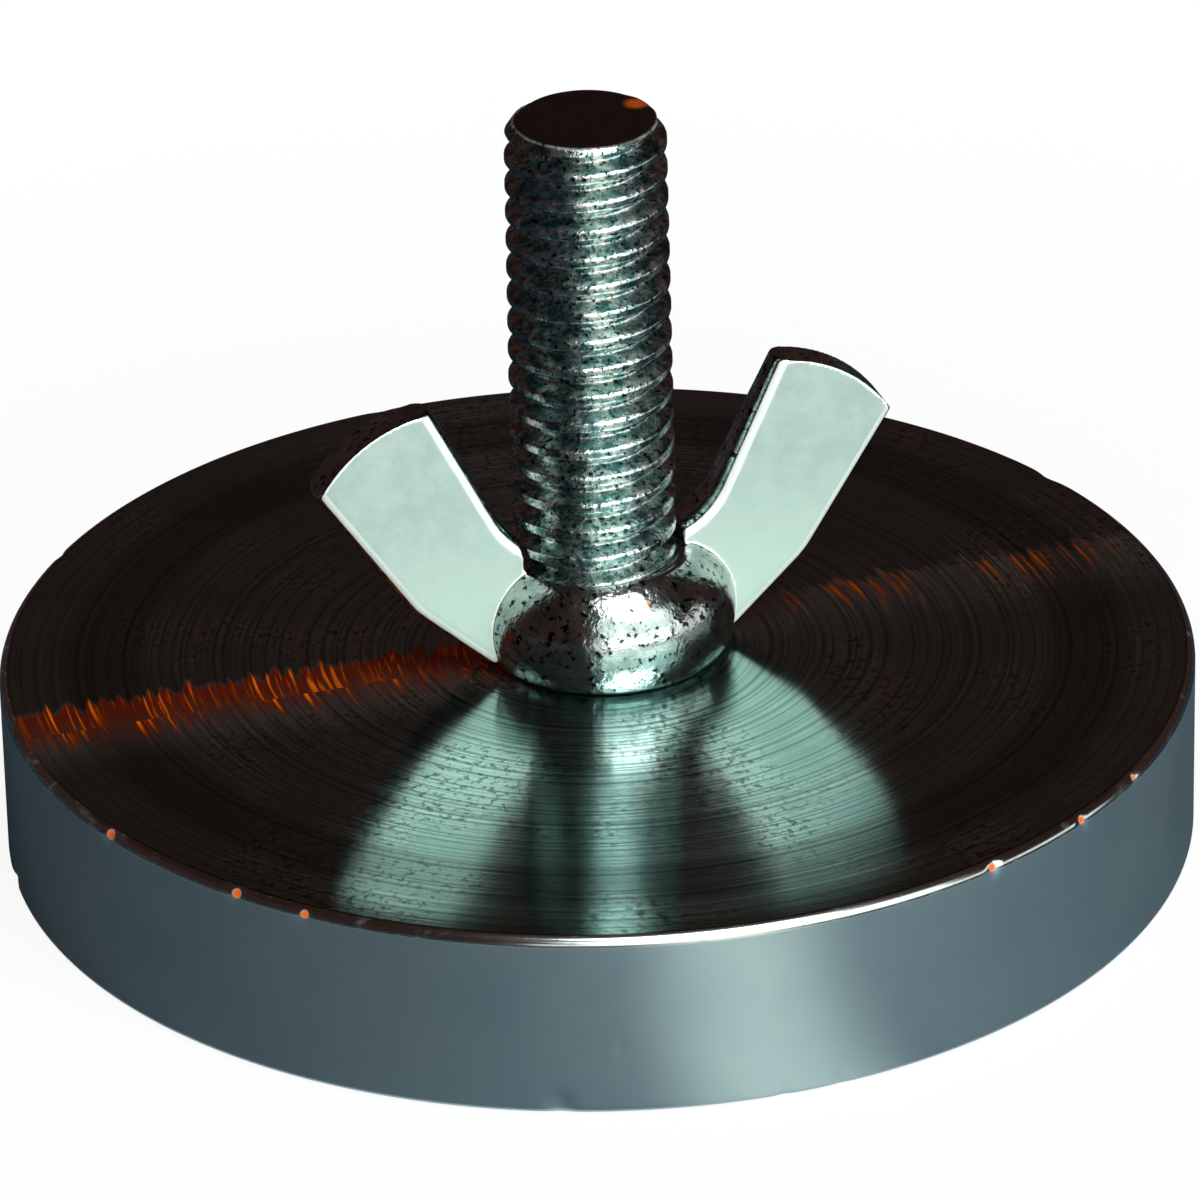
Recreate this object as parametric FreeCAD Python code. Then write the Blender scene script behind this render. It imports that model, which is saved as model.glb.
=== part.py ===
import FreeCAD, Part
import math
import os

from FreeCAD import Vector

os.makedirs("parts", exist_ok=True)

# Driving dimensions, in millimetres and degrees.
# Turned steel cup: the round body, closed on top and open below.
base_diameter = 57.15
base_height = 9.15
cup_wall = 3.0
cup_floor = 3.0
cup_top_chamfer = 0.45
cup_bottom_chamfer = 0.35

# Magnet assembly inside the cup.
pole_diameter = 22.0
potting_width = 3.075
magnet_sink = 0.3
potting_sink = 0.4
bond_gap = 0.05

# Flat-head screw that stands up through the cup as the stud.
screw_length = 36.7
screw_diameter = 7.8
thread_pitch = 25.4 / 18
thread_end_clear = 1.2
thread_phase_below_tip = 1.13
head_diameter = 15.0
head_angle = 82.0
head_edge = 0.3
head_sink = 0.15
slot_width = 2.0
slot_depth = 1.6
point_diameter = 6.6
point_length = 0.9

# Fits: the screw in its hole and in the nut, and its head in the countersink.
running_clearance = 0.1
head_clearance = 0.08

# How near two surfaces count as one where a thread is cut.
cut_tolerance = 0.0001

# Wing nut: a bulged boss with two flared wings along X.
boss_diameter = 12.44
boss_height = 5.35
boss_bulge_radius = 3.6
boss_bulge_height = 2.1
boss_foot_diameter = 10.6
boss_foot_height = 0.35
boss_offset = 0.48
mouth_widening = 0.2
wing_foot_thickness = 3.1
wing_crown_thickness = 1.7
wing_inner_round = 0.75
wing_flank_round = 0.65
wing_root_radius = 3.6
wing_root_height = 6.23
wing_throat_radius = 4.95
wing_throat_height = 6.96
wing_throat_round = 4.0
wing_top_radius = 8.45
wing_top_height = 14.0
wing_crown_rise = 0.88
wing_tip_radius = 14.25
wing_tip_height = 10.45
wing_knee_radius = 9.8
wing_knee_height = 3.85
wing_knee_round = 4.0
wing_heel_radius = 6.3
wing_heel_height = 0.7

# Heights and radii worked out from the sizes above.
base_radius = base_diameter / 2
cup_inside_radius = base_radius - cup_wall
floor_underside = base_height - cup_floor
pole_radius = pole_diameter / 2
magnet_diameter = 2 * (cup_inside_radius - potting_width)
magnet_radius = magnet_diameter / 2
screw_radius = screw_diameter / 2
screw_tip = head_sink + screw_length
screw_hole_radius = screw_radius + running_clearance
head_slope = math.tan(math.radians(head_angle / 2))
head_height = head_edge + (head_diameter / 2 - screw_radius) / head_slope
largest_round = 0.45 * wing_crown_thickness

# The 60 degree thread: 5/8 of the sharp V deep, and flat for 1/4 of the pitch in its roots.
flank_slope = math.tan(math.radians(30))
sharp_depth = thread_pitch / 2 / flank_slope
thread_depth = 5 / 8 * sharp_depth
root_half_width = thread_pitch / 8
thread_root_radius = screw_radius - thread_depth
cutter_overlap = 0.1 * thread_depth
crest_on_x = screw_tip - thread_phase_below_tip


def turned(points):
    """Solid turned about Z from a closed outline of (radius, height) points."""
    corners = [Vector(r, 0, z) for r, z in points]
    outline = Part.makePolygon(corners + corners[:1])
    return Part.Face(outline).revolve(Vector(0, 0, 0), Vector(0, 0, 1), 360)


def turned_ring(inside, outside, bottom, top):
    """Plain ring about Z."""
    return turned([(inside, bottom), (outside, bottom), (outside, top), (inside, top)])


def coil(section, start, rise):
    """Solid swept up a right-hand helix from the +X side; section holds (radius, height) points."""
    guide = Part.makeHelix(thread_pitch, rise, screw_radius)
    corners = [Vector(r, 0, z) for r, z in section]
    outline = Part.makePolygon(corners + corners[:1])
    swept = Part.Wire(guide.Edges).makePipeShell([outline], True, True)
    swept.translate(Vector(0, 0, start))
    return swept


def thread_groove(clearance, bottom, top):
    """The V between the screw's crests, moved out by a clearance, from above one height to another."""
    inner = thread_root_radius + clearance
    outer = screw_radius + clearance + cutter_overlap
    outer_half = root_half_width + (outer - inner) * flank_slope
    section = [
        (inner, -root_half_width),
        (outer, -outer_half),
        (outer, outer_half),
        (inner, root_half_width),
    ]
    groove_on_x = crest_on_x + thread_pitch / 2
    turns_down = math.floor((groove_on_x - outer_half - bottom) / thread_pitch)
    start = groove_on_x - turns_down * thread_pitch
    return coil(section, start, top - start)


def tap(bottom, top):
    """Rod that cuts a nut's thread between two heights: the screw's thread, larger by the running clearance."""
    radius = screw_radius + running_clearance
    low = bottom - 2 * thread_pitch
    high = top + thread_pitch
    rod = turned_ring(0, radius, low - thread_pitch, high + thread_pitch)
    return rod.cut(thread_groove(running_clearance, low, high), cut_tolerance)


def steel_cup():
    """Cup turned from bar, with its rims broken and the screw's hole through its floor."""
    return turned([
        (screw_hole_radius, floor_underside),
        (cup_inside_radius, floor_underside),
        (cup_inside_radius, 0),
        (base_radius - cup_bottom_chamfer, 0),
        (base_radius, cup_bottom_chamfer),
        (base_radius, base_height - cup_top_chamfer),
        (base_radius - cup_top_chamfer, base_height),
        (screw_hole_radius, base_height),
    ])


def centre_pole():
    """Steel pole in the magnet's hole, countersunk from below for the screw's head."""
    seat_radius = head_diameter / 2 + head_clearance
    seat_depth = head_sink + head_edge
    cone_top = seat_depth + (seat_radius - screw_hole_radius) / head_slope
    return turned([
        (seat_radius, 0),
        (pole_radius, 0),
        (pole_radius, floor_underside),
        (screw_hole_radius, floor_underside),
        (screw_hole_radius, cone_top),
        (seat_radius, seat_depth),
    ])


def ring_magnet():
    """Ferrite ring between the pole and the cup, under the cup's floor."""
    return turned_ring(pole_radius + bond_gap, magnet_radius, magnet_sink, floor_underside)


def potting_ring():
    """Resin that fills the gap between the magnet and the cup's wall."""
    return turned_ring(magnet_radius + bond_gap, cup_inside_radius - bond_gap, potting_sink, floor_underside)


def stud_screw():
    """Slotted flat-head screw, threaded from near its head to its coned point."""
    head_top = head_sink + head_height
    spare = 2 * thread_pitch
    blank = turned([
        (0, head_sink),
        (head_diameter / 2, head_sink),
        (head_diameter / 2, head_sink + head_edge),
        (screw_radius, head_top),
        (screw_radius, screw_tip + spare),
        (0, screw_tip + spare),
    ])
    groove = thread_groove(0, head_top + thread_end_clear, screw_tip + thread_pitch)
    threaded = blank.cut(groove, cut_tolerance)
    point_radius = point_diameter / 2
    cone_slope = point_length / (screw_radius - point_radius)
    beyond = screw_radius + spare
    waste = turned([
        (0, screw_tip),
        (point_radius, screw_tip),
        (beyond, screw_tip - cone_slope * (beyond - point_radius)),
        (beyond, screw_tip + 2 * spare),
        (0, screw_tip + 2 * spare),
    ])
    slot_length = head_diameter + 2 * head_edge
    slot = Part.makeBox(slot_length, slot_width, slot_depth,
                        Vector(-slot_length / 2, -slot_width / 2, head_sink))
    return threaded.cut(waste).cut(slot)


def boss():
    """The nut's round boss: a barrel whose side is one arc, on a narrower foot."""
    bulge_centre = boss_diameter / 2 - boss_bulge_radius

    def side(z):
        reach = boss_bulge_radius ** 2 - (z - boss_bulge_height) ** 2
        return Vector(bulge_centre + math.sqrt(max(reach, 0)), 0, z)

    foot = side(boss_foot_height)
    rim = side(boss_height)
    belly = side((boss_foot_height + boss_height) / 2)
    corners = [rim, Vector(0, 0, boss_height), Vector(0, 0, 0), Vector(boss_foot_diameter / 2, 0, 0), foot]
    edges = Part.makePolygon(corners).Edges + [Part.Arc(foot, belly, rim).toShape()]
    outline = Part.Wire(Part.__sortEdges__(edges))
    return Part.Face(outline).revolve(Vector(0, 0, 0), Vector(0, 0, 1), 360)


def wing_wedge():
    """The space between the wing's two faces, which draw together from the nut's foot to the crown."""
    foot_half = wing_foot_thickness / 2
    crown_half = wing_crown_thickness / 2
    slope = (foot_half - crown_half) / wing_top_height
    above = wing_top_height + crown_half
    above_half = foot_half - slope * above
    corners = [
        Vector(0, -foot_half, 0),
        Vector(0, foot_half, 0),
        Vector(0, above_half, above),
        Vector(0, -above_half, above),
    ]
    end = Part.Face(Part.makePolygon(corners + corners[:1]))
    return end.extrude(Vector(wing_tip_radius + wing_foot_thickness, 0, 0))


def rounded_line(start, corner, end, radius):
    """Two straight runs of an outline, joined at their corner by an arc of a radius."""
    back = (start - corner).normalize()
    onward = (end - corner).normalize()
    half_angle = back.getAngle(onward) / 2
    reach = radius / math.tan(half_angle)
    middle = corner + (back + onward).normalize() * (radius / math.sin(half_angle) - radius)
    first = corner + back * reach
    last = corner + onward * reach
    return Part.Wire([
        Part.LineSegment(start, first).toShape(),
        Part.Arc(first, middle, last).toShape(),
        Part.LineSegment(last, end).toShape(),
    ])


def wing():
    """One flared wing on the +X side: its inner edge curves into the boss, and its crown is arched."""
    half = wing_foot_thickness / 2

    def at(radius, height):
        return Vector(radius, -half, height)

    root = at(wing_root_radius, wing_root_height)
    throat = at(wing_throat_radius, wing_throat_height)
    top = at(wing_top_radius, wing_top_height)
    tip = at(wing_tip_radius, wing_tip_height)
    knee = at(wing_knee_radius, wing_knee_height)
    heel = at(wing_heel_radius, wing_heel_height)
    inside = at(wing_root_radius, wing_heel_height)
    across = (tip - top).normalize()
    outward = Vector(-across.z, 0, across.x)
    crown = Part.Arc(top, (top + tip) / 2 + outward * wing_crown_rise, tip).toShape()
    inner_line = rounded_line(root, throat, top, wing_throat_round)
    flank_line = rounded_line(tip, knee, heel, wing_knee_round)
    foot_line = Part.makePolygon([heel, inside, root])
    edges = inner_line.Edges + flank_line.Edges + foot_line.Edges + [crown]
    plate = Part.Face(Part.Wire(Part.__sortEdges__(edges))).extrude(Vector(0, wing_foot_thickness, 0))
    body = plate.common(wing_wedge())
    for line, size in ((inner_line, wing_inner_round), (flank_line, wing_flank_round)):
        others = [other for other in (inner_line, flank_line, foot_line, crown) if other is not line]
        rims = [e for e in body.Edges if is_in_face(e) and is_nearest(e, line, others)]
        body = body.makeFillet(min(size, largest_round), rims)
    return body


def middle_of(edge):
    """The point half way along an edge."""
    return edge.valueAt((edge.FirstParameter + edge.LastParameter) / 2)


def is_in_face(edge):
    """Whether an edge lies in the front or the back face of the wing."""
    return abs(middle_of(edge).y) > wing_crown_thickness / 4


def is_nearest(edge, line, others):
    """Whether the middle of an edge is nearer to one line of the outline than to the others."""
    middle = middle_of(edge)
    point = Part.Vertex(middle.x, -wing_foot_thickness / 2, middle.z)
    return point.distToShape(line)[0] < min(point.distToShape(other)[0] for other in others)


def wing_nut():
    """Cast wing nut, its boss a little off its thread, standing on the cup."""
    left = wing()
    left.rotate(Vector(0, 0, 0), Vector(0, 0, 1), 180)
    casting = boss().fuse([wing(), left]).removeSplitter()
    casting.translate(Vector(boss_offset, 0, base_height))
    bore_radius = thread_root_radius + running_clearance
    mouth_radius = screw_radius + mouth_widening
    mouth_depth = mouth_radius - bore_radius
    top = base_height + boss_height
    bore = turned([
        (0, base_height - mouth_depth),
        (mouth_radius + mouth_depth, base_height - mouth_depth),
        (bore_radius, base_height + mouth_depth),
        (bore_radius, top - mouth_depth),
        (mouth_radius, top),
        (mouth_radius, base_height + wing_top_height),
        (0, base_height + wing_top_height),
    ])
    return casting.cut(bore).cut(tap(base_height, top), cut_tolerance)


for name, make in {
    "steel_cup": steel_cup,
    "centre_pole": centre_pole,
    "ring_magnet": ring_magnet,
    "potting_ring": potting_ring,
    "stud_screw": stud_screw,
    "wing_nut": wing_nut,
}.items():
    shape = make()
    print(name, shape.ShapeType, len(shape.Solids), shape.isValid(), round(shape.Volume, 3))
    shape.exportStep(f"parts/{name}.step")
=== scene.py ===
import math
from functools import partial

import bpy
import numpy as np
from mathutils import Matrix, Vector


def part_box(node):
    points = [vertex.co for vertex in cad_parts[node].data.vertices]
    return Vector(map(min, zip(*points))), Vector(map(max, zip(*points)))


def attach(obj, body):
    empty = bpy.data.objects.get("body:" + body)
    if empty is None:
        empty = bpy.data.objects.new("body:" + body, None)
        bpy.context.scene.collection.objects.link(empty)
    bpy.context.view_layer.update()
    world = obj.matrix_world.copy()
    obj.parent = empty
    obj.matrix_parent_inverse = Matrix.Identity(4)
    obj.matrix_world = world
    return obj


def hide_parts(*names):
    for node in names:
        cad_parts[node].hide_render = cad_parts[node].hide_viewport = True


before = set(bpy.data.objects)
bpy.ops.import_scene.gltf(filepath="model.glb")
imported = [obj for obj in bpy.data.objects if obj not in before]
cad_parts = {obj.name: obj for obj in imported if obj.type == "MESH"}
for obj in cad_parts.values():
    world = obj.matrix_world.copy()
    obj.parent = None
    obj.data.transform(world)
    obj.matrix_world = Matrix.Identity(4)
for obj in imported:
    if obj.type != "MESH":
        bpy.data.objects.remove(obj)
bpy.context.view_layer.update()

MM = 0.001

# Places read from the frame, in millimetres.
_, cup_high = (np.array(corner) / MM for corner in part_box("steel_cup"))
screw_low, screw_high = (np.array(corner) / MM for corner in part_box("stud_screw"))
base_radius = cup_high[0]
base_height = cup_high[2]
screw_tip = screw_high[2]
head_face = screw_low[2]
head_radius = screw_high[0]

# Turned cup, in millimetres: the same walls and holes as the solid, with rounded rims.
cup_wall = 3.0
cup_floor = 3.0
screw_hole_radius = 4.0
top_rim_round = 0.45
bottom_rim_round = 0.35
mouth_break = 0.2
corner_points = 7
cup_segments = 1152

# Steps along the cup's outline, in millimetres: fine where it is near the outside, long elsewhere.
side_step = 0.3
face_step = 3.0
fine_band = 0.6

# Where the cup's finishes meet, in millimetres: below its top face, in from its side, above its foot.
top_finish_depth = 0.02
side_finish_depth = 0.5
foot_finish_height = 0.03

# Thread, in millimetres: a rolled 5/16 in by 18 per inch thread.
thread_radius = 3.9
thread_pitch = 25.4 / 18
thread_depth = 0.76
crest_flat = 0.14
root_flat = 0.09
phase_below_tip = 1.13
point_radius = 3.3
point_length = 0.9
tip_edge_round = 0.25
tip_taper = 0.10
tip_taper_length = 16.0
tip_ring_shares = (0.93, 0.6, 0.3)
thread_rows_per_pitch = 22
thread_columns = 160
thread_start = 5.9

# Screw head, in millimetres. Edges of the slot that turn more than the angle stay sharp.
head_slope = math.tan(math.radians(41))
head_edge = 0.3
head_break = 0.12
head_rings = (1.6, 3.2, 5.0)
slot_width = 2.0
slot_depth = 1.6
cutter_overlap = 1.0
sharp_angle = math.radians(60)

# Wing nut: points closer than this are welded, in millimetres; its grid has 2 to the power of depth cells.
weld_distance = 0.002
grid_depth = 8
softening_passes = 2

# Nicks on the cup: azimuth in degrees, height in millimetres, radius of the dent and its depth.
rim_nicks = (
    (-159.8, 8.85, 0.45, 0.22),
    (-142.9, 8.85, 0.40, 0.18),
    (-135.4, 8.80, 0.35, 0.14),
    (-68.2, 8.85, 0.35, 0.16),
    (-55.9, 8.85, 0.35, 0.15),
    (-46.5, 8.95, 0.30, 0.10),
    (20.1, 8.75, 0.80, 0.22),
    (95.0, 8.85, 0.50, 0.16),
    (140.0, 8.85, 0.40, 0.14),
    (174.3, 0.40, 0.60, 0.20),
    (-111.3, 0.45, 0.55, 0.18),
    (-90.5, 0.30, 0.40, 0.14),
    (-85.0, 0.30, 0.40, 0.10),
    (-92.9, 5.52, 0.28, 0.05),
    (-105.7, 3.47, 0.22, 0.04),
    (52.0, 4.10, 0.30, 0.05),
)

# Painted light, in millimetres: the line of painted amber reflection across the top face lies this far from
# its middle, the painted orange glint on the screw's cut end has its place and its inner and outer radius,
# and the painted orange glints on the nut are round.
amber_reflection_line_y = 2.3
painted_end_glint = (2.7, 0.6)
painted_end_glint_inner = 0.25
painted_end_glint_outer = 0.75
glint_radius = 0.15
glints_per_mm = 0.28

# The wing faces are the parts of the nut nearer to its middle plane than this, in millimetres.
wing_half_thickness = 1.7
wing_blend = 0.2

# Camera of the photograph: it looks down on the middle of the cup's top face.
camera_turn = math.radians(17)
camera_elevation = math.radians(27.527)
camera_roll = math.radians(-1.312)
camera_distance = 15 * base_radius * MM
focal_share = 8960.3 / 1200
aim_x_share = 596.86 / 1200
aim_y_share = 645.74 / 1200
sensor_width = 36.0

# Floor: radius and height of each of its rings, in millimetres. It turns up into a backdrop.
floor_radii = np.array([0.1, 50, 100, 200, 500, 1200, 1450, 1580, 1660, 1700, 1700])
floor_heights = np.array([0, 0, 0, 0, 0, 0, 20, 70, 140, 240, 400]) - 0.02
floor_columns = 96

# Felt table round the object, in millimetres, with a pale strip in it. Angles here and below are in
# degrees from the camera's right-hand side, anticlockwise.
table_radii = np.array([base_radius + 0.05, 60.0, 120.0, 248.0])
table_height = 0.04
strip_azimuth = -73
strip_half_width = 16

# Felt screen behind and beside the object, in millimetres.
screen_radius = 250.0
screen_heights = np.array([0.5, 60.0, 120.0, 185.0])
screen_start = 8
screen_end = 258
sheet_columns = 97

# Lamps: name, azimuth and elevation, distance, width and height in metres, power in watts, colour.
lamps = (
    ("key", -62, 60, 0.45, 0.22, 0.22, 1.5, "#ffffff"),
    ("front_card", -60, 24, 0.40, 0.50, 0.34, 0.96, "#f4fffb"),
)

# Settings that several shader nodes share, and the numbers of the Mix node's colour sockets.
SMOOTH = {"interpolation_type": "SMOOTHSTEP"}
ALONG_A_LINE = {"noise_dimensions": "1D"}
COLOUR_A, COLOUR_B, COLOUR = 6, 7, 2


def linear(code):
    """An sRGB hex colour as the linear RGBA that the shaders take."""
    parts = [int(code[i:i + 2], 16) / 255 for i in (1, 3, 5)]
    return tuple(c / 12.92 if c <= 0.04045 else ((c + 0.055) / 1.055) ** 2.4 for c in parts) + (1.0,)


def add_node(tree, kind, inputs=None, **settings):
    """Adds one shader node and returns its outputs: inputs are values, hex colours or sockets to link."""
    node = tree.nodes.new("ShaderNode" + kind)
    for key, value in settings.items():
        setattr(node, key, value)
    for key, value in (inputs or {}).items():
        if isinstance(value, bpy.types.NodeSocket):
            tree.links.new(value, node.inputs[key])
        else:
            node.inputs[key].default_value = linear(value) if isinstance(value, str) else value
    return node.outputs


def new_material(name):
    """An empty material, the function that adds nodes to it, and object coordinates in millimetres."""
    material = bpy.data.materials.new(name)
    material.use_nodes = True
    material.node_tree.nodes.clear()
    add = partial(add_node, material.node_tree)
    place = add("VectorMath", {0: add("TexCoord")["Object"], "Scale": 1 / MM}, operation="SCALE")[0]
    return material, add, place


def polar(add, place):
    """Radius about Z, azimuth in radians, and the level part of a place."""
    parts = add("SeparateXYZ", {0: place})
    level = add("CombineXYZ", {"X": parts["X"], "Y": parts["Y"]})[0]
    radius = add("VectorMath", {0: level}, operation="LENGTH")["Value"]
    azimuth = add("Math", {0: parts["Y"], 1: parts["X"]}, operation="ARCTAN2")[0]
    return radius, azimuth, level


def tone(add, pattern, low, high, first, second):
    """A colour that goes smoothly from the first to the second while a pattern goes from low to high."""
    share = add("MapRange", {"Value": pattern, "From Min": low, "From Max": high}, **SMOOTH)[0]
    return add("Mix", {"Factor": share, COLOUR_A: first, COLOUR_B: second}, data_type="RGBA")[COLOUR]


def turned_top_steel():
    """Fine-turned bright steel: near a mirror, so it shows the nut and the dark room, through worn rings."""
    material, add, place = new_material("fine_turned_steel")
    radius, azimuth, level = polar(add, place)
    unrolled = add("CombineXYZ", {"X": radius, "Y": azimuth})[0]
    # The rings are about 0.12 mm apart on the real face; they are drawn at 0.25 mm so that they show.
    rings = add("TexNoise", {"W": radius, "Scale": 4.0, "Detail": 3.0, "Roughness": 0.65},
                **ALONG_A_LINE)["Fac"]
    broad_rings = add("TexNoise", {"W": radius, "Scale": 0.45}, **ALONG_A_LINE)["Fac"]
    arcs = add("VectorMath", {0: unrolled, 1: (3.2, 6.0, 0.0)}, operation="MULTIPLY")[0]
    broken = add("TexNoise", {"Vector": arcs, "Scale": 1.0, "Detail": 3.0, "Roughness": 0.6})["Fac"]
    broad_tint = add("TexNoise", {"Vector": place, "Scale": 0.16, "Detail": 3.0})["Fac"]
    specks = add("TexNoise", {"Vector": place, "Scale": 2.4, "Detail": 3.0, "Roughness": 0.7})["Fac"]
    clean = tone(add, broad_tint, 0.35, 0.7, "#9ab8b3", "#c2dcd7")
    lined = tone(add, rings, 0.34, 0.58, "#768e8a", clean)

    # Specks of wear lie only where the face is stained.
    speck = add("MapRange", {"Value": specks, "From Min": 0.52, "From Max": 0.62, "To Max": 0.8},
                **SMOOTH)[0]
    stained = add("MapRange", {"Value": broad_tint, "From Min": 0.42, "From Max": 0.60}, **SMOOTH)[0]
    marked = add("Math", {0: speck, 1: stained}, operation="MULTIPLY")[0]
    specked = add("Mix", {"Factor": marked, COLOUR_A: lined, COLOUR_B: "#3d4a49"},
                  data_type="RGBA")[COLOUR]

    # Between two changes of feed, 22 to 25.5 mm out, the face is duller.
    inner_edge = add("MapRange", {"Value": radius, "From Min": 21.6, "From Max": 22.2, "To Max": 0.45},
                     **SMOOTH)[0]
    outer_edge = add("MapRange", {"Value": radius, "From Min": 25.2, "From Max": 25.7, "To Min": 1.0,
                                  "To Max": 0.0}, **SMOOTH)[0]
    dull = add("Math", {0: inner_edge, 1: outer_edge}, operation="MULTIPLY")[0]
    base = add("Mix", {"Factor": dull, COLOUR_A: specked, COLOUR_B: "#4d5a58"},
               data_type="RGBA")[COLOUR]

    # An amber reflection is painted into the face's colour along one line: orange, and not metallic there.
    reflection_share, reflection_colour = painted_amber_reflection(add, place, radius, unrolled)
    scratches = add("Math", {0: broken, 1: 0.4}, operation="MULTIPLY")[0]
    grooves = add("Math", {0: rings, 1: 0.6, 2: scratches}, operation="MULTIPLY_ADD")[0]
    surface = add("BsdfPrincipled", {
        "Base Color": tone(add, reflection_share, 0.0, 0.12, base, reflection_colour),
        "Metallic": add("Math", {0: 1.0, 1: reflection_share}, operation="SUBTRACT")[0],
        "Roughness": add("MapRange", {"Value": broad_rings, "From Min": 0.3, "From Max": 0.7,
                                      "To Min": 0.14, "To Max": 0.18}, **SMOOTH)[0],
        "Anisotropic": 0.8,
        "Tangent": add("VectorMath", {0: level}, operation="NORMALIZE")[0],
        "Normal": add("Bump", {"Height": grooves, "Distance": 0.008 * MM, "Strength": 1.0})[0],
    })[0]
    add("OutputMaterial", {"Surface": surface})
    return material


def painted_amber_reflection(add, place, radius, unrolled):
    """Painted amber reflection along a line across the face, as a soft glow and strokes in the grooves;
    share and colour.
    """
    parts = add("SeparateXYZ", {0: place})
    # The painted reflection in each groove starts within about half a millimetre of the line.
    start = add("TexNoise", {"W": radius, "Scale": 1.7, "Detail": 1.0}, **ALONG_A_LINE)["Fac"]
    ragged = add("Math", {0: start, 1: 2.4, 2: -1.2 - amber_reflection_line_y}, operation="MULTIPLY_ADD")[0]
    across = add("Math", {0: parts["Y"], 1: ragged}, operation="ADD")[0]
    above = add("MapRange", {"Value": across, "From Min": -0.3, "From Max": 0.5, "To Min": 1.0,
                             "To Max": 0.0}, **SMOOTH)[0]
    left = add("MapRange", {"Value": parts["X"], "From Min": -4.0, "From Max": 6.0, "To Min": 1.0,
                            "To Max": 0.30}, **SMOOTH)[0]

    # Painted strokes of reflection lie along the grooves, come in groups, and fade out 4.2 mm from the line.
    arcs = add("VectorMath", {0: unrolled, 1: (4.5, 3.0, 0.0)}, operation="MULTIPLY")[0]
    stroke = add("TexNoise", {"Vector": arcs, "Scale": 1.0})["Fac"]
    strokes = add("MapRange", {"Value": stroke, "From Min": 0.48, "From Max": 0.70}, **SMOOTH)[0]
    group = add("TexNoise", {"W": radius, "Scale": 0.30, "Detail": 1.0}, **ALONG_A_LINE)["Fac"]
    groups = add("MapRange", {"Value": group, "From Min": 0.42, "From Max": 0.56, "To Min": 0.08},
                 **SMOOTH)[0]
    fade = add("MapRange", {"Value": across, "From Min": -4.2, "From Max": -0.6}, **SMOOTH)[0]
    reach = add("Math", {0: fade, 1: groups}, operation="MULTIPLY")[0]
    marks = add("Math", {0: strokes, 1: reach}, operation="MULTIPLY")[0]

    # A soft painted amber glow, fading out over 7 mm from the line.
    broad_tint = add("MapRange", {"Value": across, "From Min": -7.0, "From Max": 0.0, "To Max": 0.10},
                **SMOOTH)[0]
    both = add("Math", {0: marks, 1: 0.8, 2: broad_tint}, operation="MULTIPLY_ADD")[0]
    side = add("Math", {0: above, 1: left}, operation="MULTIPLY")[0]
    share = add("Math", {0: side, 1: both}, operation="MULTIPLY")[0]
    # Colours of the painted reflection: deep orange, and bright orange in the strokes.
    colour = add("Mix", {"Factor": strokes, COLOUR_A: "#c23c04", COLOUR_B: "#ff7a12"},
                 data_type="RGBA")[COLOUR]
    return share, colour


def plated_side_steel():
    """Turned and plated side of the cup: satin blue-grey, rubbed bright at its top rim, faintly ringed."""
    material, add, place = new_material("satin_plated_steel")
    level = polar(add, place)[2]
    height = add("SeparateXYZ", {0: place})["Z"]
    rings = add("TexNoise", {"W": height, "Scale": 7.0, "Detail": 3.0, "Roughness": 0.6},
                **ALONG_A_LINE)["Fac"]
    mottle = add("TexNoise", {"Vector": place, "Scale": 0.22, "Detail": 3.0})["Fac"]
    grain = add("TexNoise", {"Vector": place, "Scale": 14.0})["Fac"]
    rub = add("TexNoise", {"Vector": place, "Scale": 0.9, "Detail": 3.0, "Roughness": 0.6})["Fac"]
    satin = tone(add, mottle, 0.3, 0.75, "#93acb6", "#9bb3bb")

    # The top 0.45 mm is rubbed through to bare steel, unevenly.
    near_rim = add("MapRange", {"Value": height, "From Min": base_height - 0.55,
                                "From Max": base_height - 0.35}, **SMOOTH)[0]
    rubbed = add("MapRange", {"Value": rub, "From Min": 0.25, "From Max": 0.5, "To Min": 0.5},
                 **SMOOTH)[0]
    rim = add("Math", {0: near_rim, 1: rubbed}, operation="MULTIPLY")[0]
    marked = add("Mix", {"Factor": rim, COLOUR_A: satin, COLOUR_B: "#e6ece8"}, data_type="RGBA")[COLOUR]

    # The nicks in the top rim carry painted orange glints.
    nick = add("MapRange", {"Value": add("Attribute", attribute_name="dent")["Fac"], "From Min": 0.55,
                            "From Max": 0.85}, **SMOOTH)[0]
    upper = add("MapRange", {"Value": height, "From Min": base_height - 0.8,
                             "From Max": base_height - 0.5}, **SMOOTH)[0]
    painted_nick_glint = add("Math", {0: nick, 1: upper}, operation="MULTIPLY")[0]

    metal = add("MapRange", {"Value": rim, "To Min": 0.78}, **SMOOTH)[0]
    around = add("VectorMath", {0: level, 1: (0.0, 0.0, 1.0)}, operation="CROSS_PRODUCT")[0]
    relief = add("Math", {0: rings, 1: grain}, operation="ADD")[0]
    surface = add("BsdfPrincipled", {
        "Base Color": add("Mix", {"Factor": painted_nick_glint, COLOUR_A: marked, COLOUR_B: "#ff6c14"},
                          data_type="RGBA")[COLOUR],
        "Metallic": add("Math", {0: metal, 1: painted_nick_glint}, operation="SUBTRACT", use_clamp=True)[0],
        "Roughness": add("MapRange", {"Value": rim, "To Min": 0.38, "To Max": 0.18}, **SMOOTH)[0],
        "Anisotropic": 0.5,
        "Anisotropic Rotation": 0.25,
        "Tangent": add("VectorMath", {0: around}, operation="NORMALIZE")[0],
        "Normal": add("Bump", {"Height": relief, "Distance": 0.0015 * MM, "Strength": 1.0})[0],
    })[0]
    add("OutputMaterial", {"Surface": surface})
    return material


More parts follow.
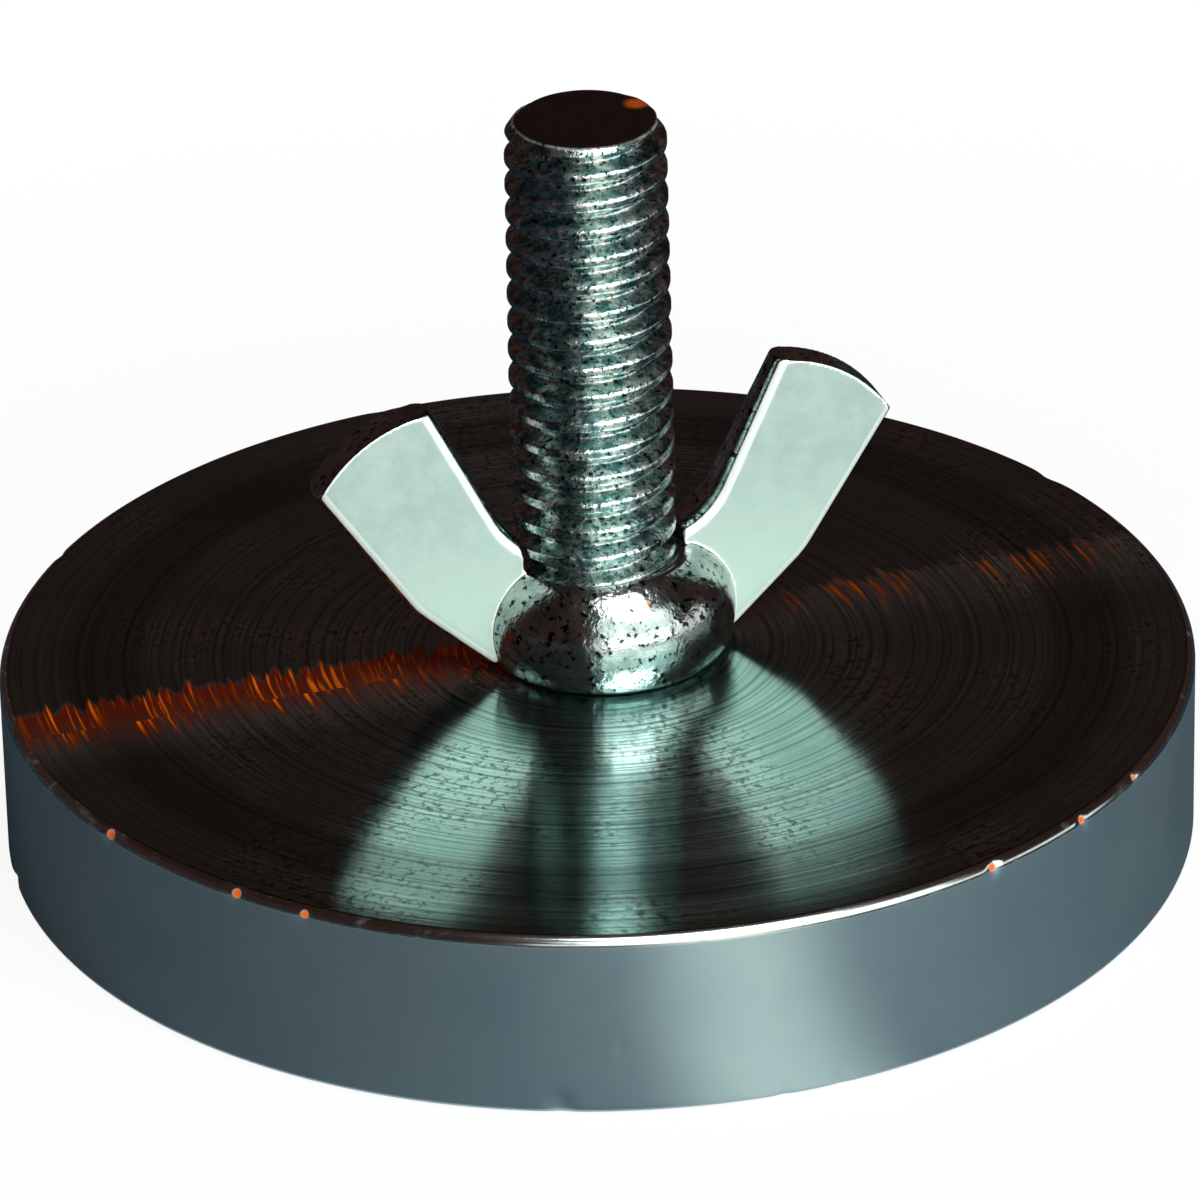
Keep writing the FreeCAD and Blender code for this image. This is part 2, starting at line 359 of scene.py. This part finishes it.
def ground_rim_steel():
    """Ground steel of the cup's underside rim, its inside and the pole: straight fine scratches one way."""
    material, add, place = new_material("ground_steel")
    stretched = add("Mapping", {"Vector": place, "Scale": (0.12, 6.0, 6.0)})[0]
    scratch = add("TexNoise", {"Vector": stretched, "Scale": 1.0, "Detail": 4.0, "Roughness": 0.7})["Fac"]
    surface = add("BsdfPrincipled", {
        "Base Color": tone(add, scratch, 0.3, 0.7, "#878a8a", "#a9acab"),
        "Metallic": 1.0,
        "Roughness": add("MapRange", {"Value": scratch, "From Min": 0.3, "From Max": 0.7,
                                      "To Min": 0.28, "To Max": 0.42}, **SMOOTH)[0],
        "Normal": add("Bump", {"Height": scratch, "Distance": 0.006 * MM, "Strength": 1.0})[0],
    })[0]
    add("OutputMaterial", {"Surface": surface})
    return material


def ferrite_ceramic():
    """Sintered ferrite: charcoal grey, dull, with a fine grain and small pores."""
    material, add, place = new_material("sintered_ferrite")
    grain = add("TexNoise", {"Vector": place, "Scale": 6.0, "Detail": 4.0, "Roughness": 0.65})["Fac"]
    pores = add("TexNoise", {"Vector": place, "Scale": 2.2, "Detail": 1.0})["Fac"]
    grey = tone(add, grain, 0.3, 0.75, "#2c2d2f", "#46484a")
    surface = add("BsdfPrincipled", {
        "Base Color": tone(add, pores, 0.68, 0.74, grey, "#161718"),
        "Metallic": 0.0,
        "Roughness": add("MapRange", {"Value": grain, "From Min": 0.3, "From Max": 0.7,
                                      "To Min": 0.55, "To Max": 0.75}, **SMOOTH)[0],
        "Normal": add("Bump", {"Height": grain, "Distance": 0.012 * MM, "Strength": 1.0})[0],
    })[0]
    add("OutputMaterial", {"Surface": surface})
    return material


def potting_resin():
    """Cast black epoxy: smooth and a little wavy where it set, with tiny bubbles."""
    material, add, place = new_material("cast_epoxy")
    swell = add("TexNoise", {"Vector": place, "Scale": 0.5})["Fac"]
    bubbles = add("TexVoronoi", {"Vector": place, "Scale": 1.3})["Distance"]
    black = tone(add, swell, 0.3, 0.7, "#15161a", "#23252a")
    surface = add("BsdfPrincipled", {
        "Base Color": tone(add, bubbles, 0.06, 0.10, "#08090a", black),
        "Metallic": 0.0,
        "Roughness": add("MapRange", {"Value": swell, "From Min": 0.3, "From Max": 0.7,
                                      "To Min": 0.22, "To Max": 0.34}, **SMOOTH)[0],
        "Normal": add("Bump", {"Height": swell, "Distance": 0.05 * MM, "Strength": 1.0})[0],
    })[0]
    add("OutputMaterial", {"Surface": surface})
    return material


def zinc_thread_steel():
    """Zinc-plated rolled steel: bright and blue-grey, pitted and specked, with a dark, oxidised cut end that
    carries a painted orange glint.
    """
    material, add, place = new_material("zinc_plated_steel")
    height = add("SeparateXYZ", {0: place})["Z"]
    mottle = add("TexNoise", {"Vector": place, "Scale": 1.6, "Detail": 3.0, "Roughness": 0.6})["Fac"]
    specks = add("TexNoise", {"Vector": place, "Scale": 4.2, "Detail": 3.0, "Roughness": 0.75})["Fac"]
    zinc = tone(add, mottle, 0.35, 0.65, "#7fa5a4", "#f2f8f3")
    pitted = tone(add, specks, 0.53, 0.61, zinc, "#1f2829")

    # The cut end is dull brown and has one painted orange glint.
    end = add("MapRange", {"Value": height, "From Min": screw_tip - 0.22, "From Max": screw_tip - 0.08},
              **SMOOTH)[0]
    from_painted_glint = add("VectorMath", {0: place, 1: (*painted_end_glint, screw_tip)}, operation="DISTANCE")["Value"]
    oxide_and_painted_glint = tone(add, from_painted_glint, painted_end_glint_inner, painted_end_glint_outer, "#b04a12", "#150d09")
    surface = add("BsdfPrincipled", {
        "Base Color": add("Mix", {"Factor": end, COLOUR_A: pitted, COLOUR_B: oxide_and_painted_glint},
                          data_type="RGBA")[COLOUR],
        "Metallic": add("Math", {0: 1.0, 1: end}, operation="SUBTRACT")[0],
        "Roughness": add("MapRange", {"Value": mottle, "From Min": 0.3, "From Max": 0.7,
                                      "To Min": 0.18, "To Max": 0.28}, **SMOOTH)[0],
        "Normal": add("Bump", {"Height": specks, "Distance": 0.035 * MM, "Strength": 1.0})[0],
    })[0]
    add("OutputMaterial", {"Surface": surface})
    return material


def cast_zinc():
    """Die-cast zinc alloy, plated: pale matt wing faces with painted white highlights on their edges, and a
    bright pitted boss.
    """
    material, add, place = new_material("plated_cast_zinc")
    parts = add("SeparateXYZ", {0: place})
    from_middle = add("Math", {0: parts["Y"]}, operation="ABSOLUTE")[0]
    facing = add("SeparateXYZ", {0: add("TexCoord")["Normal"]})["Y"]
    squareness = add("Math", {0: facing}, operation="ABSOLUTE")[0]
    mottle = add("TexNoise", {"Vector": place, "Scale": 0.8, "Detail": 4.0, "Roughness": 0.6})["Fac"]
    pits = add("TexNoise", {"Vector": place, "Scale": 2.6, "Detail": 3.0, "Roughness": 0.6})["Fac"]

    # Wing faces: thin parts of the casting that look along Y. Their rounded edges carry a painted white
    # highlight.
    thin = add("MapRange", {"Value": from_middle, "From Min": wing_half_thickness,
                            "From Max": wing_half_thickness + wing_blend, "To Min": 1.0, "To Max": 0.0},
               **SMOOTH)[0]
    square = add("MapRange", {"Value": squareness, "From Min": 0.70, "From Max": 0.80}, **SMOOTH)[0]
    face = add("Math", {0: square, 1: thin}, operation="MULTIPLY")[0]
    matt = tone(add, mottle, 0.3, 0.7, "#b2c8c2", "#c0d4cd")
    pale = tone(add, parts["Z"], base_height + 3.0, base_height + 10.0, "#cde2d6", matt)
    # Painted white highlight on the faces' rounded edges, where their normal turns away from Y.
    marked = tone(add, squareness, 0.965, 0.995, "#fbfffc", pale)

    # Boss: bright, pitted, with a few painted orange glints.
    grey = tone(add, mottle, 0.3, 0.7, "#a5b1ae", "#dde6e2")
    pitted = tone(add, pits, 0.56, 0.64, grey, "#2b3231")
    cells = add("TexVoronoi", {"Vector": place, "Scale": glints_per_mm})["Distance"]
    glint_in_cells = glint_radius * glints_per_mm
    boss = tone(add, cells, 0.6 * glint_in_cells, glint_in_cells, "#f08a3c", pitted)
    surface = add("BsdfPrincipled", {
        "Base Color": add("Mix", {"Factor": face, COLOUR_A: boss, COLOUR_B: marked},
                          data_type="RGBA")[COLOUR],
        "Metallic": add("MapRange", {"Value": face, "To Min": 1.0, "To Max": 0.2}, **SMOOTH)[0],
        "Roughness": add("MapRange", {"Value": face, "To Min": 0.16, "To Max": 0.5}, **SMOOTH)[0],
        "Normal": add("Bump", {"Height": pits, "Distance": 0.03 * MM, "Strength": 1.0})[0],
    })[0]
    add("OutputMaterial", {"Surface": surface})
    return material


def floor_paper():
    """Pale paper that takes the object's shadow and turns to plain white far away."""
    material, add, place = new_material("floor_paper")
    radius = polar(add, place)[0]
    fibre = add("TexNoise", {"Vector": place, "Scale": 0.4, "Detail": 3.0})["Fac"]
    paper = add("BsdfDiffuse", {"Color": add("Mix", {"Factor": fibre, COLOUR_A: "#f7f7f7",
                                                     COLOUR_B: "#fafafa"}, data_type="RGBA")[COLOUR]})[0]
    white = add("Emission", {"Color": "#ffffff", "Strength": 1.0})[0]
    path = add("LightPath")
    direct = add("Math", {0: path["Is Camera Ray"], 1: path["Is Glossy Ray"]}, operation="ADD")[0]
    seen = add("Math", {0: direct, 1: path["Is Transmission Ray"]}, operation="ADD", use_clamp=True)[0]
    far = add("MapRange", {"Value": radius, "From Min": 36.0, "From Max": 90.0, "To Min": 0.92},
              **SMOOTH)[0]
    share = add("Math", {0: far, 1: seen}, operation="MULTIPLY")[0]
    add("OutputMaterial", {"Surface": add("MixShader", {0: share, 1: paper, 2: white})[0]})
    return material


def felt(add, place, dark, light):
    """Felt in two dark colours, for what keeps stray light off the object."""
    weave = add("TexNoise", {"Vector": place, "Scale": 0.5})["Fac"]
    colour = add("Mix", {"Factor": weave, COLOUR_A: dark, COLOUR_B: light}, data_type="RGBA")[COLOUR]
    return add("BsdfDiffuse", {"Color": colour})[0]


def table_felt():
    """Slate felt with one glowing pale strip, whose light fades out to both sides."""
    material, add, place = new_material("table_felt")
    azimuth = polar(add, place)[1]
    middle = math.radians(strip_azimuth) - camera_turn
    off_middle = add("Math", {0: azimuth, 1: middle}, operation="SUBTRACT")[0]
    aside = add("Math", {0: off_middle}, operation="ABSOLUTE")[0]
    pale = add("MapRange", {"Value": aside, "From Max": math.radians(strip_half_width), "To Min": 1.0,
                            "To Max": 0.0}, **SMOOTH)[0]
    glow = add("Emission", {"Color": "#fffbe6", "Strength": 1.3})[0]
    slate = felt(add, place, "#25323d", "#2d3d49")
    add("OutputMaterial", {"Surface": add("MixShader", {0: pale, 1: slate, 2: glow})[0]})
    return material


def screen_felt():
    """Dark brown felt."""
    material, add, place = new_material("screen_felt")
    add("OutputMaterial", {"Surface": felt(add, place, "#362523", "#402c29")})
    return material


def make_piece(name, points_mm, faces, materials, slots=None):
    """A smooth-shaded mesh object from points in millimetres and a list or array of faces."""
    mesh = bpy.data.meshes.new(name)
    mesh.from_pydata((points_mm * MM).tolist(), [], [list(map(int, face)) for face in faces])
    mesh.polygons.foreach_set("use_smooth", np.ones(len(mesh.polygons), dtype=bool))
    for material in materials:
        mesh.materials.append(material)
    if slots is not None:
        mesh.polygons.foreach_set("material_index", np.asarray(slots, dtype=np.int32))
    mesh.update()
    piece = bpy.data.objects.new(name, mesh)
    bpy.context.scene.collection.objects.link(piece)
    return piece


def apply_modifiers(piece):
    """Makes a piece's modifiers part of its mesh."""
    bpy.context.view_layer.update()
    finished = bpy.data.meshes.new_from_object(piece.evaluated_get(bpy.context.evaluated_depsgraph_get()))
    piece.modifiers.clear()
    piece.data = finished


def once_round(count):
    """So many equal steps of azimuth once round Z, in radians."""
    return np.arange(count) * 2 * math.pi / count


def circles(radii, heights, angle):
    """Points about Z, (radius cos azimuth, radius sin azimuth, height): a row of points for each height."""
    parts = np.broadcast_arrays(radii * np.cos(angle), radii * np.sin(angle), heights[:, None])
    return np.stack(parts, axis=-1)


def quads(rows, columns, close_rows=False):
    """Faces of a grid of points whose columns go once round; close_rows joins the last row to the first."""
    last = rows if close_rows else rows - 1
    i, j = np.meshgrid(np.arange(last), np.arange(columns), indexing="ij")
    up, across = (i + 1) % rows, (j + 1) % columns
    corners = (i * columns + j, i * columns + across, up * columns + across, up * columns + j)
    return np.stack(corners, axis=-1).reshape(-1, 4)


def rounded(outline):
    """A closed outline of (radius, height, round) corners, each corner with a round replaced by its arc.

    The arc's centre lies on the corner's bisector, at the round over the sine of half the corner's angle.
    """
    corners = np.array([corner[:2] for corner in outline], dtype=float)
    result = []
    for index, (_, _, size) in enumerate(outline):
        here = corners[index]
        if size == 0:
            result.append(here)
            continue
        before = corners[index - 1] - here
        after = corners[(index + 1) % len(corners)] - here
        before /= np.linalg.norm(before)
        after /= np.linalg.norm(after)
        half = math.acos(float(before @ after)) / 2
        reach = size / math.tan(half)
        centre = here + (before + after) / np.linalg.norm(before + after) * size / math.sin(half)
        start, end = here + before * reach - centre, here + after * reach - centre
        for t in np.linspace(0, 1, corner_points):
            arm = start * (1 - t) + end * t
            result.append(centre + arm / np.linalg.norm(arm) * size)
    return np.array(result)


def filled(outline, fine_beyond):
    """The same closed outline with points added: fine steps outside a radius and long ones inside it."""
    result = []
    for start, end in zip(outline, np.roll(outline, -1, axis=0)):
        longest = side_step if min(start[0], end[0]) > fine_beyond else face_step
        count = max(1, math.ceil(np.linalg.norm(end - start) / longest))
        result.extend(start + (end - start) * k / count for k in range(count))
    return np.array(result)


def turned_cup(top, side, ground):
    """The cup: a closed outline turned about Z, then pushed in by a dent at each nick.

    A dent moves each point inward by its depth times exp(-(distance from the nick / radius) squared). The
    attribute dent keeps that exponential for the painted orange glints in the nicks.
    """
    inside = base_radius - cup_wall
    ceiling = base_height - cup_floor
    outline = rounded([
        (screw_hole_radius, base_height, mouth_break),
        (screw_hole_radius, ceiling, 0),
        (inside, ceiling, 0),
        (inside, 0, mouth_break),
        (base_radius, 0, bottom_rim_round),
        (base_radius, base_height, top_rim_round),
    ])
    radii, heights = filled(outline, base_radius - fine_band).T
    points = circles(radii[:, None], heights, once_round(cup_segments))
    dent = np.zeros(points.shape[:2])
    for azimuth, height, size, depth in rim_nicks:
        turn = math.radians(azimuth)
        nick = np.array([base_radius * math.cos(turn), base_radius * math.sin(turn), height])
        inward = np.array([-math.cos(turn), -math.sin(turn), 0])
        share = np.exp(-np.sum((points - nick) ** 2, axis=-1) / size ** 2)
        points += share[..., None] * depth * inward
        dent = np.maximum(dent, share)

    middle_height = (heights + np.roll(heights, -1)) / 2
    middle_radius = (radii + np.roll(radii, -1)) / 2
    is_top = middle_height > base_height - top_finish_depth
    is_side = (middle_radius > base_radius - side_finish_depth) & (middle_height >= foot_finish_height)
    slots = np.where(is_top, 0, np.where(is_side, 1, 2))
    faces = quads(len(radii), cup_segments, close_rows=True)
    piece = make_piece("turned_cup", points.reshape(-1, 3), faces, [top, side, ground],
                       np.repeat(slots, cup_segments))
    piece.data.attributes.new("dent", "FLOAT", "POINT").data.foreach_set("value", dent.ravel())
    return piece


def thread_drop(distance):
    """How far the surface lies below the crest, in mm, at a distance along the axis from the crest's middle.

    It is nothing on the crest's flat, the full depth on the root's, and half a cosine wave between them.
    """
    along = np.clip((distance - crest_flat) / (thread_pitch / 2 - crest_flat - root_flat), 0, 1)
    return thread_depth * (0.5 - 0.5 * np.cos(math.pi * along))


def rolled_thread(angle):
    """Rows of points up the stud, from the thread's start to its tip.

    The crest climbs by one pitch a turn. The radius is the thread's, less the drop and a slight taper near
    the tip, or that of the coned point with its rounded edge where it is smaller.
    """
    rows = round((screw_tip - thread_start) / thread_pitch * thread_rows_per_pitch)
    heights = np.linspace(thread_start, screw_tip, rows)
    crest = screw_tip - phase_below_tip + thread_pitch * angle / (2 * math.pi)
    turns = (heights[:, None] - crest) / thread_pitch
    distance = np.abs(turns - np.round(turns)) * thread_pitch
    run_out = np.clip((heights - thread_start) / thread_pitch, 0, 1)[:, None]
    below_tip = screw_tip - heights[:, None]
    slimmer = tip_taper * np.clip(1 - below_tip / tip_taper_length, 0, 1)
    threaded = thread_radius - slimmer - thread_drop(distance) * run_out
    cone = point_radius + below_tip / point_length * (thread_radius - point_radius)
    sunk = np.clip(tip_edge_round - below_tip, 0, tip_edge_round)
    cone = cone - tip_edge_round + np.sqrt(tip_edge_round ** 2 - sunk ** 2)
    points = circles(np.minimum(threaded, cone), heights, angle)
    inner = [points[-1] * [share, share, 1] for share in tip_ring_shares]
    return np.concatenate([points, inner])


def stud_piece(material):
    """The whole screw: rows of points from the head's face up to the tip, closed at both ends; slotted."""
    angle = once_round(thread_columns)
    head = [(radius, head_face) for radius in (*head_rings, head_radius - head_break)] + [
        (head_radius, head_face + head_break),
        (head_radius, head_face + head_edge),
        (thread_radius, head_face + head_edge + (head_radius - thread_radius) / head_slope),
    ]
    radii, heights = np.array(head).T
    grid = np.concatenate([circles(radii[:, None], heights, angle), rolled_thread(angle)])
    rows = grid.reshape(-1, 3)
    ends = np.array([[0, 0, head_face], [0, 0, screw_tip]])
    low_end, high_end = len(rows), len(rows) + 1
    last = len(rows) - thread_columns
    faces = quads(len(grid), thread_columns).tolist()
    for j in range(thread_columns):
        after = (j + 1) % thread_columns
        faces += [[after, j, low_end], [last + j, last + after, high_end]]
    screw = make_piece("threaded_stud", np.concatenate([rows, ends]), faces, [material])
    cut_slot(screw)
    return screw


def cut_slot(screw):
    """Cuts the driver's slot across the head: a box along X taken away, its edges kept sharp."""
    reach = head_radius + cutter_overlap
    corners = np.array([
        [x, y, z]
        for x in (-reach, reach)
        for y in (-slot_width / 2, slot_width / 2)
        for z in (head_face - cutter_overlap, head_face + slot_depth)
    ])
    sides = [(0, 1, 3, 2), (4, 6, 7, 5), (0, 4, 5, 1), (2, 3, 7, 6), (0, 2, 6, 4), (1, 5, 7, 3)]
    cutter = make_piece("slot_cutter", corners, sides, [])
    cut = screw.modifiers.new("slot", "BOOLEAN")
    cut.operation = "DIFFERENCE"
    cut.object = cutter
    apply_modifiers(screw)
    bpy.data.meshes.remove(cutter.data)
    screw.data.set_sharp_from_angle(angle=sharp_angle)


def cast_wing_nut(material):
    """The wing nut: the solid's surface closed at a fine pitch, its edges softened as a casting's are."""
    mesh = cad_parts["wing_nut"].data.copy()
    piece = bpy.data.objects.new("cast_wing_nut", mesh)
    bpy.context.scene.collection.objects.link(piece)
    weld = piece.modifiers.new("weld", "WELD")
    weld.merge_threshold = weld_distance * MM
    grid = piece.modifiers.new("grid", "REMESH")
    grid.mode = "SHARP"
    grid.octree_depth = grid_depth
    grid.use_remove_disconnected = False
    grid.use_smooth_shade = True
    soft = piece.modifiers.new("soft", "SMOOTH")
    soft.iterations = softening_passes
    soft.factor = 0.5
    apply_modifiers(piece)
    piece.data.materials.clear()
    piece.data.materials.append(material)
    return piece


def sheet(name, points, material):
    """A piece from a grid of points that doesn't close; the camera doesn't see it, the object mirrors it."""
    rows, columns = points.shape[:2]
    faces = quads(rows, columns).reshape(rows - 1, columns, 4)[:, :-1].reshape(-1, 4)
    piece = make_piece(name, points.reshape(-1, 3), faces, [material])
    piece.visible_camera = False
    return piece


def dark_table():
    """Felt laid all round the object, seen only in its reflections."""
    angle = np.linspace(0, 2 * math.pi, sheet_columns)
    heights = np.full(len(table_radii), table_height)
    table = sheet("table", circles(table_radii[:, None], heights, angle), table_felt())
    table.visible_diffuse = False
    table.visible_shadow = False
    return table


def dark_screen():
    """A felt screen that stands behind and beside the object: part of a cylinder."""
    angle = np.linspace(math.radians(screen_start), math.radians(screen_end), sheet_columns) - camera_turn
    return sheet("screen", circles(screen_radius, screen_heights, angle), screen_felt())


def softbox(name, azimuth, elevation, distance, width, height, watts, colour):
    """An area lamp aimed at the object; azimuth is from the camera's right-hand side, anticlockwise."""
    data = bpy.data.lights.new(name, "AREA")
    data.shape = "RECTANGLE"
    data.size = width
    data.size_y = height
    data.energy = watts
    data.color = linear(colour)[:3]
    lamp = bpy.data.objects.new(name, data)
    lamp.visible_camera = False
    bpy.context.scene.collection.objects.link(lamp)
    turn = math.radians(azimuth) - camera_turn
    rise = math.radians(elevation)
    outward = Vector((math.cos(turn) * math.cos(rise), math.sin(turn) * math.cos(rise), math.sin(rise)))
    target = Vector((0, 0, base_height * MM))
    aim = outward.to_track_quat("Z", "Y").to_matrix().to_4x4()
    lamp.matrix_world = Matrix.Translation(target + outward * distance) @ aim


def set_studio():
    """Pale floor that turns into a white backdrop far away, dark felts, a dim room, and soft lamps."""
    points = circles(floor_radii[:, None], floor_heights, once_round(floor_columns)).reshape(-1, 3)
    make_piece("floor", points, quads(len(floor_radii), floor_columns), [floor_paper()])
    dark_screen()
    dark_table()

    world = bpy.data.worlds.new("room")
    world.use_nodes = True
    background = world.node_tree.nodes["Background"]
    background.inputs["Color"].default_value = linear("#3c2822")
    background.inputs["Strength"].default_value = 0.45
    bpy.context.scene.world = world

    for lamp in lamps:
        softbox(*lamp)


def set_camera():
    """The photograph's camera, with its roll and the small shift of its frame."""
    data = bpy.data.cameras.new("camera")
    data.sensor_width = sensor_width
    data.lens = focal_share * sensor_width
    data.shift_x = 0.5 - aim_x_share
    data.shift_y = aim_y_share - 0.5
    data.clip_start = 0.01
    data.clip_end = 20.0
    camera = bpy.data.objects.new("camera", data)
    bpy.context.scene.collection.objects.link(camera)
    level, down = math.cos(camera_elevation), math.sin(camera_elevation)
    ahead = Vector((math.sin(camera_turn) * level, math.cos(camera_turn) * level, -down))
    right = Vector((math.cos(camera_turn), -math.sin(camera_turn), 0))
    up = right.cross(ahead)
    c, s = math.cos(camera_roll), math.sin(camera_roll)
    rolled_right, rolled_up = c * right + s * up, c * up - s * right
    axes = Matrix((rolled_right, rolled_up, -ahead)).transposed()
    aim = Vector((0, 0, base_height * MM))
    camera.matrix_world = Matrix.Translation(aim - ahead * camera_distance) @ axes.to_4x4()
    bpy.context.scene.camera = camera


scene = bpy.context.scene
scene.view_settings.view_transform = "Standard"

cup = turned_cup(turned_top_steel(), plated_side_steel(), ground_rim_steel())
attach(cup, "base")
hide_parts("steel_cup")

stud = stud_piece(zinc_thread_steel())
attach(stud, "screw")
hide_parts("stud_screw")

nut = cast_wing_nut(cast_zinc())
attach(nut, "wing_nut")
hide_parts("wing_nut")

for node, finish in (
    ("centre_pole", ground_rim_steel()),
    ("ring_magnet", ferrite_ceramic()),
    ("potting_ring", potting_resin()),
):
    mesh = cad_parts[node].data
    mesh.materials.clear()
    mesh.materials.append(finish)

set_studio()
set_camera()
